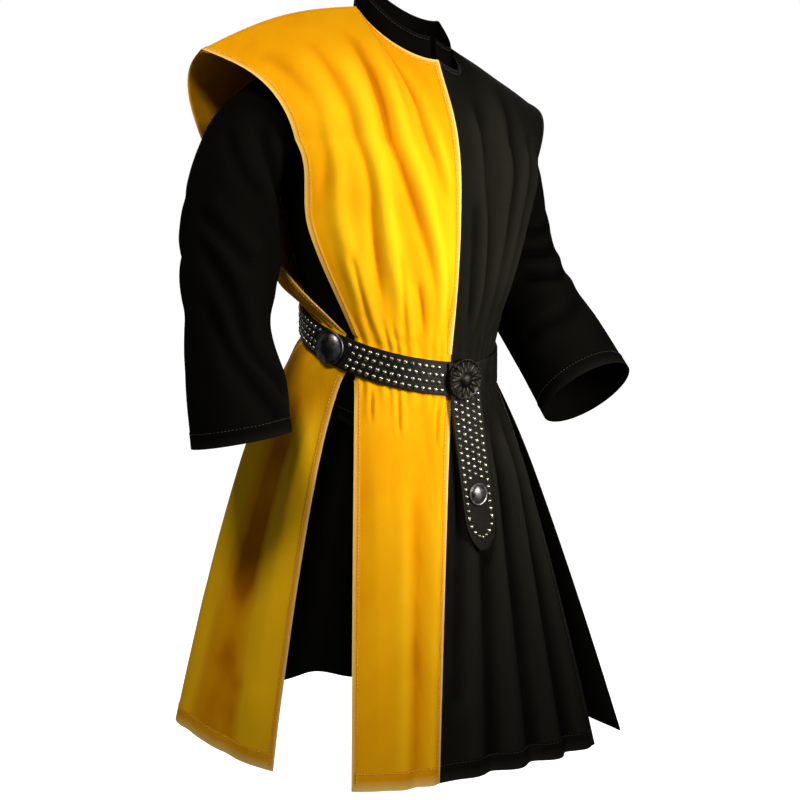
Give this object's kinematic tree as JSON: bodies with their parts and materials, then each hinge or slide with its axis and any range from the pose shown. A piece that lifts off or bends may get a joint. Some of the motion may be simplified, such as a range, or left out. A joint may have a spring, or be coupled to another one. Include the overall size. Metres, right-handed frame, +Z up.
{
  "type": "medieval tunic",
  "caption": "Parti-coloured sleeveless surcoat, open at both sides, over a black sleeved under-tunic with a stand collar, drawn in by a studded leather belt with a hanging end.",
  "frame": {"origin": "level with the point where the right shoulder seam meets the neckline, midway from side to side between the neck ends of the two shoulder seams, where the wearer's shoulders hold the garment", "axes": "+Z up along the body, front faces -Y, the wearer's right (yellow) side is -X"},
  "size_m": [0.7241, 0.5147, 1.14],
  "materials": {
    "yellow_twill": "matte golden yellow cotton twill",
    "black_twill": "matte black cotton twill",
    "black_cotton": "soft matte black cotton",
    "belt_leather": "black leather, half gloss",
    "dark_metal": "blackened steel"
  },
  "bodies": {
    "root": {"surcoat_front_right": "yellow_twill", "surcoat_back_right": "yellow_twill", "surcoat_front_left": "black_twill", "surcoat_back_left": "black_twill", "under_front": "black_cotton", "under_back": "black_cotton", "sleeve_right": "black_cotton", "sleeve_left": "black_cotton", "collar": "black_cotton", "belt_strap": "belt_leather", "belt_end": "belt_leather", "buckle": "dark_metal", "side_concho": "dark_metal", "end_concho": "dark_metal"}
  },
  "joints": []
}
